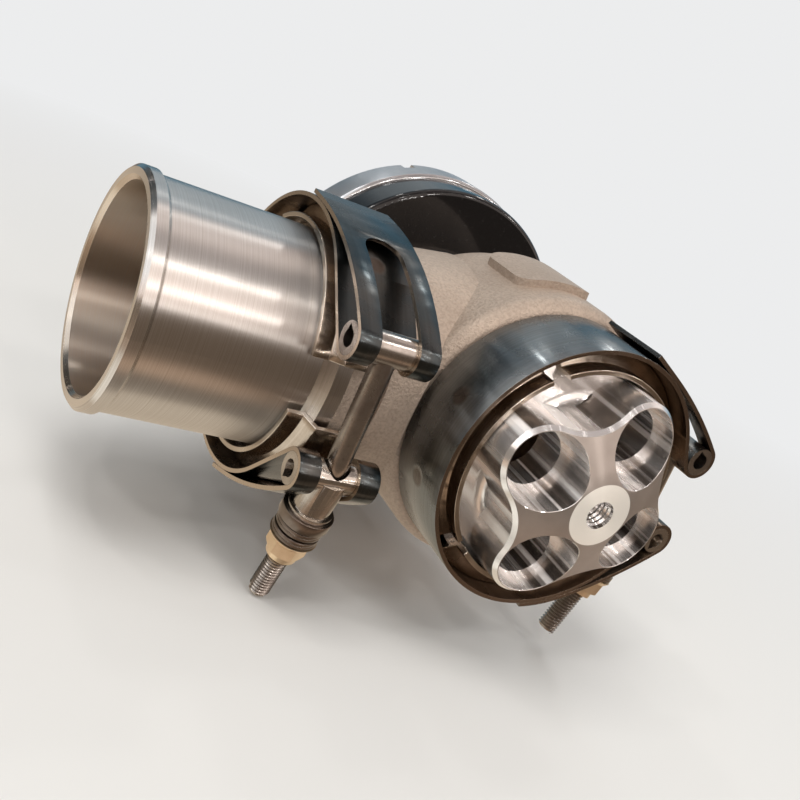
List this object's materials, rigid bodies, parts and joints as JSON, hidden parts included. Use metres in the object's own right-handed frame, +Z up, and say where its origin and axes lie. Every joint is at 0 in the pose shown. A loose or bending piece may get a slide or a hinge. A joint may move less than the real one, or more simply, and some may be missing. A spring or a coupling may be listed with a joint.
{
  "type": "anti-lag valve",
  "caption": "Diaphragm-operated poppet valve in a cast tee body with a charge-air spigot and a lobed runner block, each held by a V-band clamp.",
  "frame": {"origin": "centre of the runner block's hub face, on the valve's axis", "axes": "+Y along the valve's axis from the runner block to the actuator, -X towards the charge-air spigot, +Z up"},
  "size_m": [0.141, 0.139, 0.0922],
  "materials": {
    "cast_body": "sand cast, matte",
    "turned_tube": "turned, polished",
    "machined_block": "machined, bright",
    "valve_steel": "ground",
    "guide_bronze": "turned",
    "gasket": "embossed sheet",
    "gloss_black": "gloss",
    "screw_steel": "dark",
    "seal": "matte",
    "plate_metal": "turned",
    "diaphragm_rubber": "matte",
    "spring_steel": "satin",
    "collar_silver": "satin",
    "strap_steel": "satin",
    "retainer_steel": "polished",
    "bolt_steel": "bright shank",
    "washer_steel": "dark",
    "plated_nut": "pale gold plating"
  },
  "bodies": {
    "housing": {"valve_body": "cast_body", "charge_spigot": "turned_tube", "runner_block": "machined_block", "seat_ring": "valve_steel", "stem_guide": "guide_bronze", "heat_gasket": "gasket", "actuator_base": "gloss_black", "base_screws": "screw_steel", "stem_seal": "seal", "diaphragm": "diaphragm_rubber", "outer_spring": "spring_steel", "inner_spring": "spring_steel", "actuator_cap": "gloss_black", "lock_collar": "collar_silver", "side_strap": "strap_steel", "side_retainer_upper": "retainer_steel", "side_retainer_back": "retainer_steel", "side_retainer_lower": "retainer_steel", "side_t_bolt": "bolt_steel", "side_trunnion": "strap_steel", "side_thrust_cup": "washer_steel", "port_strap": "strap_steel", "port_retainer_upper": "retainer_steel", "port_retainer_back": "retainer_steel", "port_retainer_lower": "retainer_steel", "port_t_bolt": "bolt_steel", "port_trunnion": "strap_steel", "port_thrust_cup": "washer_steel"},
    "valve": {"poppet_valve": "valve_steel", "lower_plate": "plate_metal", "piston": "plate_metal", "piston_nut": "screw_steel"},
    "side_washer_stack": {"side_spring_washers": "washer_steel"},
    "side_nut": {"side_lock_nut": "plated_nut"},
    "port_washer_stack": {"port_spring_washers": "washer_steel"},
    "port_nut": {"port_lock_nut": "plated_nut"}
  },
  "joints": [
    {"name": "valve_lift", "type": "slide", "parent": "housing", "child": "valve", "axis": [0, 1, 0], "range_m": [0, 0.01], "stiffness_N_per_m": 4000, "springref_m": -0.006, "deforming": ["outer_spring", "inner_spring", "diaphragm"]},
    {"name": "side_nut_travel", "type": "slide", "parent": "housing", "child": "side_washer_stack", "axis": [0, 0.2079, -0.9781], "range_m": [0, 0.0032], "stiffness_N_per_m": 200, "springref_m": -0.001},
    {"name": "side_nut_turn", "type": "hinge", "parent": "side_washer_stack", "child": "side_nut", "pos_m": [-0.0514, 0.02499, -0.03043], "axis": [0, 0.2079, -0.9781], "range_deg": [0, 1440]},
    {"name": "port_nut_travel", "type": "slide", "parent": "housing", "child": "port_washer_stack", "axis": [-0.23, 0, -0.9732], "range_m": [0, 0.0032], "stiffness_N_per_m": 200, "springref_m": -0.001},
    {"name": "port_nut_turn", "type": "hinge", "parent": "port_washer_stack", "child": "port_nut", "pos_m": [0.03164, 0.02206, -0.02584], "axis": [-0.23, 0, -0.9732], "range_deg": [0, 1440]}
  ],
  "couplings": [
    {"joint": "side_nut_turn", "follows": "side_nut_travel", "rad_per_m": 7854},
    {"joint": "port_nut_turn", "follows": "port_nut_travel", "rad_per_m": 7854}
  ]
}
